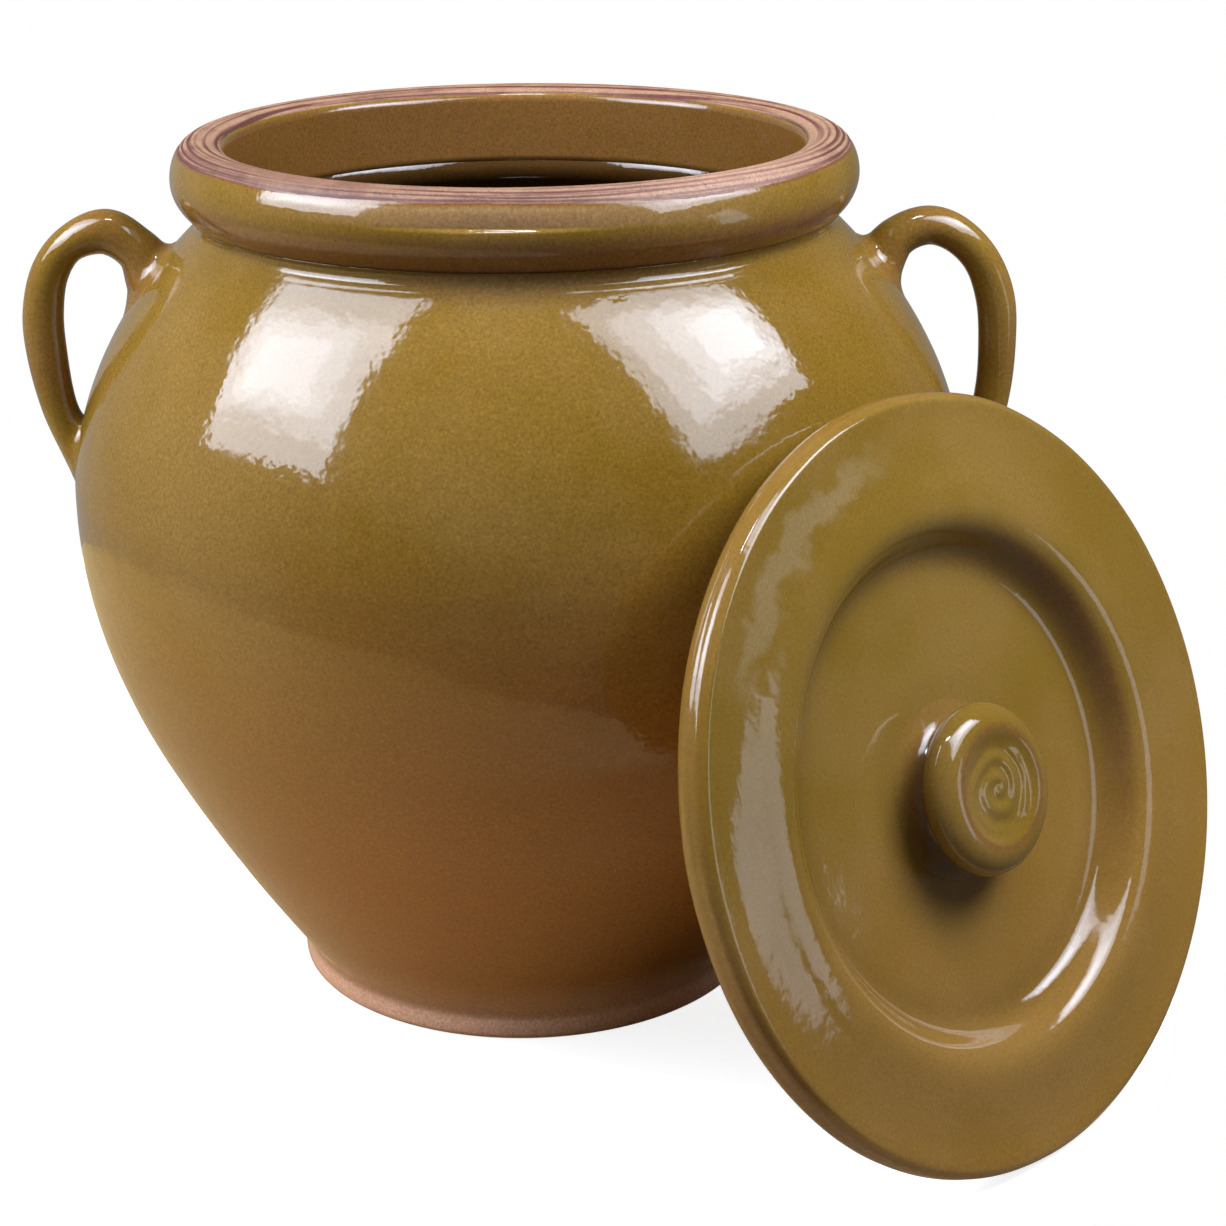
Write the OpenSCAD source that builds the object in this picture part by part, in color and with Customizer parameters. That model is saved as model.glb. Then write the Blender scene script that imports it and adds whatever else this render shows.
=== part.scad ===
// Two-handled stoneware jar, with its flanged lid standing on edge and leaning on the belly.
// Millimetres. The jar's axis is Z, the table is z = 0, and the handles lie along X.

/* [Jar body] */
// Height of the jar, from the table to the crest of its rim.
jar_h = 308.5; // [302:0.5:316]
// Radius of the foot.
foot_r = 85.5; // [83:0.5:90]
// Largest radius of the belly.
belly_r = 158.4; // [152:0.2:164]
// Height of the widest part of the belly.
belly_z = 185; // [178:1:192]
// How far the flank leans out from upright where it leaves the foot, in degrees.
flank_lean = 34; // [30:1:38]
// How far the shoulder leans in from upright where it reaches the rim, in degrees.
shoulder_lean = 50; // [46:1:54]
// Thickness of the wall.
wall = 9.5; // [8:0.5:11]
// Thickness of the floor.
floor_t = 10; // [8:0.5:12]

/* [Mouth] */
// Radius of the bore of the mouth.
mouth_r = 99.7; // [96:0.1:101]
// Outermost radius of the rolled rim.
rim_r = 119; // [117:0.5:121]
// Depth of the rolled rim, from its widest line down to the groove under it.
rim_drop = 16; // [14:0.5:18]
// Radius of the rounded inner corner of the rim.
rim_corner = 4.2; // [3:0.2:5]

/* [Handles] */
// Thickness of the left handle halfway down.
left_t = 14.6; // [12:0.2:17]
// Thickness of the right handle halfway down.
right_t = 13.8; // [12:0.2:17]

/* [Lid] */
// Outermost radius of the lid.
lid_r = 126.3; // [124:0.1:128]
// Radius of the rounded lip where the flange drops into the well.
lip_r = 92.5; // [90:0.5:94]
// Radius of the flat floor of the well.
well_r = 70; // [66:0.5:73]
// Depth of the well below the flange.
well_d = 12; // [10:0.5:14]
// Thickness of the flange.
flange_t = 10; // [9:0.5:12]
// Thickness of the floor of the well.
well_t = 8; // [6:0.2:9]

/* [Knob] */
// Largest radius of the knob's button.
knob_r = 28; // [25:0.5:31]
// Radius of the knob's neck under the button.
knob_neck_r = 20.5; // [18:0.5:22.5]
// Radius of the foot that spreads onto the lid.
knob_foot_r = 30; // [28:0.5:33]
// Height of the knob's top above the flange.
knob_top = 8.7; // [7:0.1:11]

/* [Where the lid leans] */
// Direction in which the lid faces, turned from the front towards the right, in degrees.
lean_dir = 43.3; // [38:0.1:50]
// How far the lid leans back from upright, in degrees.
lean_back = 18.5; // [14:0.5:22]
// How far the lid's middle stands to the right of the line on which it leans.
lean_side = 7.5; // [-10:0.5:15]
// Gap left between the lid and the belly.
lean_gap = 0.4; // [0.3:0.1:1]

/* [Hidden] */
$fn = 96;
glaze = [0.50, 0.40, 0.17];
clay = [0.56, 0.38, 0.26];

// The rolled rim is most of an ellipse, cut off in the groove where it sits on the shoulder.
rim_half_w = 20;
rim_high = 13.1;
rim_groove_a = -60;
rim_crest_a = 61;
rim_steps = 16;
rim_mid_z = jar_h - 12;
rim_mid_r = rim_r - rim_half_w;
rim_low = rim_drop / sin(-rim_groove_a);
neck_r = rim_mid_r + rim_half_w * cos(rim_groove_a);
neck_z = rim_mid_z - rim_drop;

// Point of a cubic curve, and its direction, at t between 0 and 1.
function curve(p, t) = pow(1 - t, 3) * p[0] + 3 * t * pow(1 - t, 2) * p[1]
    + 3 * t * t * (1 - t) * p[2] + pow(t, 3) * p[3];
function curve_dir(p, t) = let (d = (1 - t) * (1 - t) * (p[1] - p[0])
    + 2 * t * (1 - t) * (p[2] - p[1]) + t * t * (p[3] - p[2])) d / norm(d);
function curve_line(p, n, first = 0) = [for (i = [first : n]) curve(p, i / n)];
// The same curve moved inwards by the wall, running down.
function inside_line(p, n, last = 0) = [for (i = [n : -1 : last])
    let (d = curve_dir(p, i / n)) curve(p, i / n) - wall * [d.y, -d.x]];

// Outside of the body: a small rounded foot with a waist above it, the flank up to the belly,
// and the shoulder. Each pull is how far a curve runs on straight from its end before it bends.
flank_pull = 102;
belly_pull_low = 52;
belly_pull_high = 42;
shoulder_pull = 24;
foot_line = [[foot_r - 2.6, 0], [foot_r - 0.8, 0.8], [foot_r, 2.6], [foot_r - 0.2, 5.4], [foot_r - 1, 8.2]];
flank_foot = [foot_r - 0.5, 10.3];
flank = [flank_foot, flank_foot + flank_pull * [sin(flank_lean), cos(flank_lean)],
    [belly_r, belly_z - belly_pull_low], [belly_r, belly_z]];
shoulder_top = [neck_r, neck_z];
shoulder = [[belly_r, belly_z], [belly_r, belly_z + belly_pull_high],
    shoulder_top + shoulder_pull * [sin(shoulder_lean), -cos(shoulder_lean)], shoulder_top];
flank_steps = 22;
shoulder_steps = 18;
outer_line = concat(foot_line, curve_line(flank, flank_steps), curve_line(shoulder, shoulder_steps, 1));
inner_corner = [[foot_r - 10.5, floor_t + 2], [foot_r - 14, floor_t], [foot_r - 20, floor_t]];
inner_line = concat(inside_line(shoulder, shoulder_steps), inside_line(flank, flank_steps), inner_corner);
radius_table = [for (p = outer_line) [p.y, p.x]];
function outer_r(z) = lookup(z, radius_table);

module outer_solid() {
    rotate_extrude() polygon(concat([[0, 0]], outer_line, [[0, neck_z]]));
}

module jar_body() {
    color(glaze) rotate_extrude()
        polygon(concat([[0, 0]], outer_line, [[mouth_r, neck_z]], inner_line, [[0, floor_t]]));
}

rim_line = concat(
    [for (i = [0 : rim_steps]) let (a = rim_groove_a + i * (rim_crest_a - rim_groove_a) / rim_steps)
        [rim_mid_r + rim_half_w * cos(a), rim_mid_z + (a < 0 ? rim_low : rim_high) * sin(a)]],
    [for (a = [90 : 15 : 180]) [mouth_r + rim_corner * (1 + cos(a)), jar_h - rim_corner * (1 - sin(a))]]);

module mouth_rim() {
    color(clay) rotate_extrude() polygon(concat([[mouth_r, neck_z]], rim_line));
}

// Centre lines of the handles. Each row is how far out from the widest belly, how far down
// from the rim's crest, and the half thicknesses across and along the wall as shares of
// half the handle's thickness. The first and last rows lie inside the wall.
left_route = [
    [-34.0, 55.5, 2.0, 2.1], [-30.6, 48.5, 1.46, 1.62], [-25.2, 39.7, 1.08, 1.28], [-15.0, 33.6, 1.09, 1.12],
    [-2.2, 37.6, 0.88, 1.08], [5.5, 47.6, 0.91, 1.06], [9.0, 62.3, 0.98, 1.06], [8.6, 78.3, 0.97, 1.08],
    [5.9, 95.1, 0.86, 1.12], [1.2, 108.9, 0.82, 1.25], [-4.8, 122.6, 0.8, 1.5], [-12.0, 134.0, 0.7, 1.6]];
right_route = [
    [-35.0, 56.0, 1.95, 2.1], [-31.6, 49.5, 1.42, 1.62], [-24.6, 39.5, 1.06, 1.28], [-13.8, 35.3, 0.99, 1.12],
    [-3.0, 38.8, 0.96, 1.08], [6.1, 48.1, 0.95, 1.06], [11.4, 61.8, 1.0, 1.06], [12.7, 78.2, 0.98, 1.08],
    [11.9, 94.8, 0.93, 1.12], [8.4, 110.0, 0.9, 1.25], [-0.4, 124.0, 0.84, 1.5], [-10.0, 136.0, 0.72, 1.6]];
handle_sides = 16;
handle_steps = 4;

// Point of a smooth line through the rows of a route.
function smooth(q, i, t) = let (a = q[max(i - 1, 0)], b = q[i], c = q[i + 1], d = q[min(i + 2, len(q) - 1)])
    0.5 * (2 * b + (c - a) * t + (2 * a - 5 * b + 4 * c - d) * t * t + (3 * b - a - 3 * c + d) * pow(t, 3));
function route_rows(q) = concat([for (i = [0 : len(q) - 2], k = [0 : handle_steps - 1])
    smooth(q, i, k / handle_steps)], [q[len(q) - 1]]);
function route_dir(rows, i) = let (d = rows[min(i + 1, len(rows) - 1)] - rows[max(i - 1, 0)],
    v = [d[0], -d[1]]) v / norm(v);
function ring_points(rows, i, thick) = let (p = rows[i], d = route_dir(rows, i), half = thick / 2)
    [for (k = [0 : handle_sides - 1]) let (a = k * 360 / handle_sides, w = half * p[2] * cos(a))
        [belly_r + p[0] + w * d.y, half * p[3] * sin(a), jar_h - p[1] - w * d.x]];

module swept_bar(route, thick) {
    rows = route_rows(route);
    n = len(rows);
    s = handle_sides;
    points = [for (i = [0 : n - 1]) each ring_points(rows, i, thick)];
    walls = [for (i = [0 : n - 2], k = [0 : s - 1]) let (m = (k + 1) % s)
        each [[i * s + k, (i + 1) * s + m, i * s + m], [i * s + k, (i + 1) * s + k, (i + 1) * s + m]]];
    ends = [[for (k = [0 : s - 1]) k], [for (k = [s - 1 : -1 : 0]) (n - 1) * s + k]];
    polyhedron(points, concat(walls, ends), convexity = 6);
}

module handle_left() {
    color(glaze) difference() {
        mirror([1, 0, 0]) swept_bar(left_route, left_t);
        outer_solid();
    }
}

module handle_right() {
    color(glaze) difference() {
        swept_bar(right_route, right_t);
        outer_solid();
    }
}

// Outline of the lid, as radius and height above the flat of the flange: the well's side up to
// the lip, the flange, the thick rolled edge, and the boss under the well.
well_floor = -well_d - well_t;
well_steps = 10;
boss_steps = 8;
well_side = [[well_r, -well_d], [well_r + 10, -well_d], [lip_r - 9.5, 1], [lip_r, 1]];
boss_side = [[lip_r + 3.8, -flange_t], [lip_r - 2, -flange_t], [lip_r, well_floor],
    [lip_r - 8.5, well_floor]];
lip_line = [[lip_r + 2, 1], [lip_r + 4, 0.7], [lip_r + 6.5, 0.1], [lip_r + 8, 0]];
edge_line = [[lid_r - 10.5, 0], [lid_r - 8.5, 0.2], [lid_r - 6.5, 0.7], [lid_r - 4.5, 0.8],
    [lid_r - 2.6, 0.3], [lid_r - 1.1, -1.2], [lid_r - 0.25, -3.2], [lid_r, -5.5], [lid_r - 0.3, -8],
    [lid_r - 1.3, -10.2], [lid_r - 2.9, -11.7], [lid_r - 4.9, -12.3], [lid_r - 7.2, -12],
    [lid_r - 9.2, -flange_t - 1], [lid_r - 11.2, -flange_t - 0.2], [lid_r - 13.7, -flange_t]];
lid_line = concat(curve_line(well_side, well_steps), lip_line, edge_line, curve_line(boss_side, boss_steps));

// The lid stands with its lowest point on the table, as far out as its back just clears the jar.
lean_z = max([for (p = lid_line) p.x * cos(lean_back) - p.y * sin(lean_back)]);
back_line = [for (p = lid_line) if (p.y < -flange_t / 2) p];
lid_face = [cos(lean_back), sin(lean_back)];
lid_rise = [-sin(lean_back), cos(lean_back)];
// Clearance between the lid's back and the jar, with the lid's middle at a distance out.
back_reach = 60;
back_step = 3;
function back_gap(out) = min([for (p = back_line, a = [-back_reach : back_step : back_reach]) let (
    u = p.x * cos(a), side = p.x * sin(a) + lean_side,
    q = [out, lean_z] + p.y * lid_face + u * lid_rise)
    norm([q.x, side]) - outer_r(q.y)]);
function settle(low, high, n) = n == 0 ? high : let (mid = (low + high) / 2)
    back_gap(mid) < lean_gap ? settle(mid, high, n - 1) : settle(low, mid, n - 1);
settle_reach = 80;
settle_halvings = 16;
lean_out = settle(belly_r, belly_r + settle_reach, settle_halvings);

module place_lid() {
    rotate([0, 0, lean_dir - 90]) translate([lean_out, lean_side, lean_z])
        rotate([0, 90 - lean_back, 0]) children();
}

module lid_plate() {
    color(glaze) place_lid() rotate_extrude()
        polygon(concat([[0, -well_d]], lid_line, [[0, well_floor]]));
}

// Outline of the knob: a foot spread onto the lid, a neck, and a rounded button with a dished top.
button_mid = 1.6;
button_in = 9;
button_low = 6.4;
button_high = knob_top - button_mid;
dish_r = knob_r - button_in;
dish_d = 1.3;
neck_curve = [[knob_foot_r, -well_d], [knob_foot_r - 5, -well_d + 0.6],
    [knob_neck_r + 0.6, -well_d + 2], [knob_neck_r, -well_d + 5.6]];
neck_steps = 8;
dish_line = [[dish_r, knob_top], [dish_r - 1.6, knob_top - 0.4], [dish_r - 3, knob_top - 1.1],
    [dish_r - 5, knob_top - dish_d]];
button_line = [for (a = [-75 : 15 : 75]) [knob_r - button_in * (1 - cos(a)),
    button_mid + (a < 0 ? button_low : button_high) * sin(a)]];
knob_line = concat(curve_line(neck_curve, neck_steps), button_line, dish_line);

module lid_knob() {
    color(glaze) place_lid() rotate_extrude()
        polygon(concat([[0, -well_d]], knob_line, [[0, knob_top - dish_d]]));
}

jar_body();
mouth_rim();
handle_left();
handle_right();
lid_plate();
lid_knob();
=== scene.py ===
"""Dresses the olive jar: thrown stoneware under a glossy olive-brown glaze, with its lid leaning on it.

Sizes are in metres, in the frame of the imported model: +Z is up, the jar's axis is Z, and the
table is z = 0. Outlines are given as (radius, height) and spun round the jar's or the lid's axis.
"""

import logging
import math
from bisect import bisect_left
from dataclasses import dataclass, field
from enum import Enum
from typing import Callable

import bmesh
import bpy
from mathutils import Matrix, Vector, noise


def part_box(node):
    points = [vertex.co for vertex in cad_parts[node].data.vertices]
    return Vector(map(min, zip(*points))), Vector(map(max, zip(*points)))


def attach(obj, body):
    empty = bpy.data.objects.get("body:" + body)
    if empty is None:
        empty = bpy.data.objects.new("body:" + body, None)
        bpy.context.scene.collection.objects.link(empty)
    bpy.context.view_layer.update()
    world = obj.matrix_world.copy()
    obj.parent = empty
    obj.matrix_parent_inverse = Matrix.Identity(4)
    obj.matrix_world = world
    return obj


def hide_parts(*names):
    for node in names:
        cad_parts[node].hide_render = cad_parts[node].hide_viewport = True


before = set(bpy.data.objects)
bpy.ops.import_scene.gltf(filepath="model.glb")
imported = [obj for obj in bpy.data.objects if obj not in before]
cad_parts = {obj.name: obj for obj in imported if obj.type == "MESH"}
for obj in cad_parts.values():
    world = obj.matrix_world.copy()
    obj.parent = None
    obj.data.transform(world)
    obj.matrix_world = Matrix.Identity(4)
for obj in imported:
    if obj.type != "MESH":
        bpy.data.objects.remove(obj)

MM = 0.001
FULL_TURN = 2 * math.pi
PLACE_TOLERANCE = 6 * MM

log = logging.getLogger("olive_jar")

Outline = list[tuple[float, float]]
Shaping = Callable[[Vector], Vector]
Mask = Callable[[Vector], float]


class Body(Enum):
    """The two bodies that come apart."""

    JAR = "jar"
    LID = "lid"


class Slot(Enum):
    """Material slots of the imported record."""

    GLAZE = "glaze"
    BARE_CLAY = "bare_clay"


class Layer(Enum):
    """Masks that the pieces carry in their vertices, each from 0 to 1; several paint shade or light into the glaze."""

    BARE = "bare"
    THIN = "thin_and_shade"
    POOL_AND_SHADE = "pool_and_shade"
    GROOVE_AND_SHADE = "groove"
    MILKY_AND_PAINTED_LIGHT = "milky_and_painted_light"
    WARM_PAINTED_FILL = "warm_painted_fill"


def ramp(value: float, low: float, high: float) -> float:
    """Smooth step from 0 at low to 1 at high; low may be the larger."""
    share = min(1.0, max(0.0, (value - low) / (high - low)))
    return share * share * (3 - 2 * share)


def bump_at(value: float, centre: float, width: float) -> float:
    """Smooth hump, 1 at centre and 0 beyond width on either side."""
    return ramp(abs(value - centre), width, 0.0)


@dataclass(frozen=True)
class Curve:
    """Cubic curve in an outline.

    Args:
        start: First point.
        leave: Handle of the first point.
        arrive: Handle of the last point.
        end: Last point.
    """

    start: Vector
    leave: Vector
    arrive: Vector
    end: Vector

    def point(self, t: float) -> Vector:
        """Point at t between 0 and 1."""
        s = 1 - t
        return s**3 * self.start + 3 * s * s * t * self.leave + 3 * s * t * t * self.arrive + t**3 * self.end

    def side(self, t: float) -> Vector:
        """Unit vector square to the curve, on its right-hand side."""
        s = 1 - t
        along = s * s * (self.leave - self.start) + 2 * s * t * (self.arrive - self.leave)
        along = (along + t * t * (self.end - self.arrive)).normalized()
        return Vector((along.y, -along.x))

    def points(self, count: int, inset: float = 0.0) -> list[Vector]:
        """Evenly spaced points.

        Args:
            count: Number of steps along the curve.
            inset: Distance that the points are moved to the left of the curve.

        Returns:
            count + 1 points from start to end.
        """
        return [self.point(i / count) - inset * self.side(i / count) for i in range(count + 1)]


def smooth_through(points: list[Vector], steps: int) -> list[Vector]:
    """Smooth line through every given point.

    Args:
        points: Points of any size of vector.
        steps: Steps between two neighbours.

    Returns:
        The points of a Catmull-Rom line, ends included.
    """
    line = []
    last = len(points) - 1
    for i in range(last):
        a, b, c, d = points[max(i - 1, 0)], points[i], points[i + 1], points[min(i + 2, last)]
        for k in range(steps):
            t = k / steps
            line.append(
                0.5 * (2 * b + (c - a) * t + (2 * a - 5 * b + 4 * c - d) * t**2 + (3 * b - a - 3 * c + d) * t**3)
            )
    return line + [points[last]]


def turned(outline: list[Vector], sides: int, closed: bool) -> bmesh.types.BMesh:
    """Spins an outline round Z, as clay is turned on a wheel.

    Args:
        outline: Points as (radius, height).
        sides: Steps round the turn.
        closed: True if the outline is a loop, as a ring's is; False if it ends on the axis.

    Returns:
        A closed bmesh with its faces outwards.
    """
    bm = bmesh.new()
    verts = [bm.verts.new((p.x, 0.0, p.y)) for p in outline]
    for a, b in zip(verts, verts[1:]):
        bm.edges.new((a, b))
    if closed:
        bm.edges.new((verts[-1], verts[0]))
    bmesh.ops.spin(
        bm, geom=bm.verts[:] + bm.edges[:], cent=(0, 0, 0), axis=(0, 0, 1), dvec=(0, 0, 0),
        angle=FULL_TURN, steps=sides, use_merge=True,
    )
    bmesh.ops.remove_doubles(bm, verts=bm.verts[:], dist=0.002 * MM)
    bmesh.ops.recalc_face_normals(bm, faces=bm.faces[:])
    return bm


def paint(bm: bmesh.types.BMesh, masks: dict[Layer, Mask]) -> None:
    """Writes masks into a piece's vertices.

    Args:
        bm: The piece, still on its own axis.
        masks: For each layer, a function of a point that gives 0 to 1.
    """
    layers = {layer: bm.verts.layers.float.new(layer.value) for layer in masks}
    for vert in bm.verts:
        for layer, mask in masks.items():
            vert[layers[layer]] = mask(vert.co)


def shape(bm: bmesh.types.BMesh, shaping: Shaping) -> None:
    """Moves each vertex by what shaping gives for its place."""
    moves = [shaping(vert.co) for vert in bm.verts]
    for vert, move in zip(bm.verts, moves):
        vert.co += move


def finish_piece(
    name: str, bm: bmesh.types.BMesh, material: bpy.types.Material, body: Body, node: str, levels: int = 0
) -> bpy.types.Object:
    """Turns a bmesh into a finished piece that stands for a CAD node.

    Args:
        name: Name of the piece.
        bm: The finished shape, in place. It is freed.
        material: Its finish.
        body: The body that it moves with.
        node: The CAD node that it stands for.
        levels: Levels of subdivision.

    Returns:
        The new object.

    Raises:
        ValueError: If the piece isn't where its node is.
    """
    mesh = bpy.data.meshes.new(name)
    bm.to_mesh(mesh)
    bm.free()
    mesh.shade_smooth()
    mesh.materials.append(material)
    piece = bpy.data.objects.new(name, mesh)
    bpy.context.scene.collection.objects.link(piece)
    if levels:
        rounding = piece.modifiers.new("rounding", "SUBSURF")
        rounding.levels = rounding.render_levels = levels
    corners = [Vector([f(v.co[i] for v in mesh.vertices) for i in range(3)]) for f in (min, max)]
    apart = max(abs(x - y) for a, b in zip(corners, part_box(node)) for x, y in zip(a, b))
    if apart > PLACE_TOLERANCE:
        raise ValueError(f"{name} is {apart / MM:.1f} mm away from {node}")
    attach(piece, body.value)
    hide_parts(node)
    log.info("%s: %d faces, %.2f mm from its node", name, len(mesh.polygons), apart / MM)
    return piece


class Graph:
    """Short way to add and join the nodes of one tree."""

    def __init__(self, tree: bpy.types.NodeTree) -> None:
        """Args:
            tree: The node tree to add to.
        """
        self.tree = tree

    def add(self, kind: str, links: dict | None = None, **settings: object) -> bpy.types.Node:
        """Adds a node.

        Args:
            kind: Its type, without the ShaderNode prefix where it has one.
            links: Input name or number to a socket that feeds it, or to a plain value.
            settings: Properties of the node.

        Returns:
            The new node.
        """
        prefix = "" if kind.startswith("NodeGroup") else "ShaderNode"
        node = self.tree.nodes.new(prefix + kind)
        for key, value in settings.items():
            setattr(node, key, value)
        for key, value in (links or {}).items():
            self.feed(node.inputs[key], value)
        return node

    def feed(self, socket: bpy.types.NodeSocket, value: object) -> None:
        """Links a socket to socket, or sets a plain value on it."""
        if isinstance(value, bpy.types.NodeSocket):
            self.tree.links.new(value, socket)
        else:
            socket.default_value = value

    def math(self, operation: str, a: object, b: object = 0.0, clamp: bool = False) -> bpy.types.NodeSocket:
        """Adds a Math node and returns its output."""
        return self.add("Math", {0: a, 1: b}, operation=operation, use_clamp=clamp).outputs[0]

    def span(self, value: object, low: float, high: float, to_low: float = 0.0, to_high: float = 1.0) -> bpy.types.NodeSocket:
        """Smooth map from a range to a range, clamped."""
        node = self.add("MapRange", {"Value": value}, interpolation_type="SMOOTHSTEP")
        for name, number in (("From Min", low), ("From Max", high), ("To Min", to_low), ("To Max", to_high)):
            node.inputs[name].default_value = number
        return node.outputs["Result"]

    def blend(self, share: object, a: object, b: object, mode: str = "MIX") -> bpy.types.NodeSocket:
        """Mixes two colours and returns the result."""
        node = self.add("Mix", data_type="RGBA", blend_type=mode)
        for index, value in ((0, share), (6, a), (7, b)):
            self.feed(node.inputs[index], value)
        return node.outputs[2]

    def noise(self, place: object, scale: float, detail: float = 2.0, rough: float = 0.5) -> bpy.types.NodeSocket:
        """Adds a noise texture and returns its value."""
        node = self.add("TexNoise", {"Vector": place, "Scale": scale, "Detail": detail, "Roughness": rough})
        return node.outputs["Fac"]


def rgb(red: int, green: int, blue: int) -> tuple[float, float, float, float]:
    """Screen colour, 0 to 255, as the linear colour that a shader takes."""

    def linear(level: int) -> float:
        share = level / 255
        return share / 12.92 if share <= 0.04045 else ((share + 0.055) / 1.055) ** 2.4

    return (linear(red), linear(green), linear(blue), 1.0)


def new_group(name: str, inputs: dict[str, str], outputs: dict[str, str]) -> tuple[bpy.types.NodeTree, Graph]:
    """Starts a shader node group.

    Args:
        name: Name of the group.
        inputs: Name of each input to its socket type.
        outputs: Name of each output to its socket type.

    Returns:
        The group and a graph to fill it with.
    """
    tree = bpy.data.node_groups.new(name, "ShaderNodeTree")
    for side, sockets in (("INPUT", inputs), ("OUTPUT", outputs)):
        for label, kind in sockets.items():
            tree.interface.new_socket(name=label, in_out=side, socket_type=kind)
    return tree, Graph(tree)


def speckle_group() -> bpy.types.NodeTree:
    """Iron specks and pale grains in a glaze or clay, as a colour and a mask."""
    tree, graph = new_group(
        "fired_specks",
        {"Vector": "NodeSocketVector", "Color": "NodeSocketColor", "Dark": "NodeSocketFloat", "Light": "NodeSocketFloat"},
        {"Color": "NodeSocketColor", "Specks": "NodeSocketFloat"},
    )
    given = graph.add("NodeGroupInput").outputs
    out = graph.add("NodeGroupOutput")
    fine = graph.noise(given["Vector"], 1000, 2, 0.6)
    coarse = graph.noise(given["Vector"], 520, 3, 0.6)
    wide = graph.noise(given["Vector"], 60, 2)
    dark = graph.math("MULTIPLY", graph.span(coarse, 0.58, 0.72), graph.span(wide, 0.3, 0.7, 0.5, 1.0))
    dark = graph.math("MULTIPLY", dark, given["Dark"])
    light = graph.math("MULTIPLY", graph.span(fine, 0.50, 0.72), given["Light"])
    shaded = graph.blend(dark, given["Color"], graph.blend(1.0, given["Color"], (0.36, 0.30, 0.26, 1), "MULTIPLY"))
    grain = graph.math("MULTIPLY", graph.span(fine, 0.50, 0.30), given["Light"])
    shaded = graph.blend(grain, shaded, graph.blend(1.0, shaded, (0.45, 0.42, 0.40, 1), "MULTIPLY"))
    lit = graph.blend(light, shaded, graph.blend(1.0, shaded, (1.7, 1.7, 1.9, 1), "MULTIPLY"))
    graph.feed(out.inputs["Color"], lit)
    graph.feed(out.inputs["Specks"], dark)
    return tree


def peel_group() -> bpy.types.NodeTree:
    """Orange peel of a thick glaze, as a height in millimetres."""
    tree, graph = new_group(
        "glaze_peel",
        {"Vector": "NodeSocketVector", "Peel": "NodeSocketFloat", "Grain": "NodeSocketFloat"},
        {"Height": "NodeSocketFloat"},
    )
    given = graph.add("NodeGroupInput").outputs
    out = graph.add("NodeGroupOutput")
    broad = graph.math("MULTIPLY", graph.noise(given["Vector"], 150, 2, 0.55), given["Peel"])
    grain = graph.math("MULTIPLY", graph.noise(given["Vector"], 620, 2, 0.6), given["Grain"])
    graph.feed(out.inputs["Height"], graph.math("ADD", broad, grain))
    return tree


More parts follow.
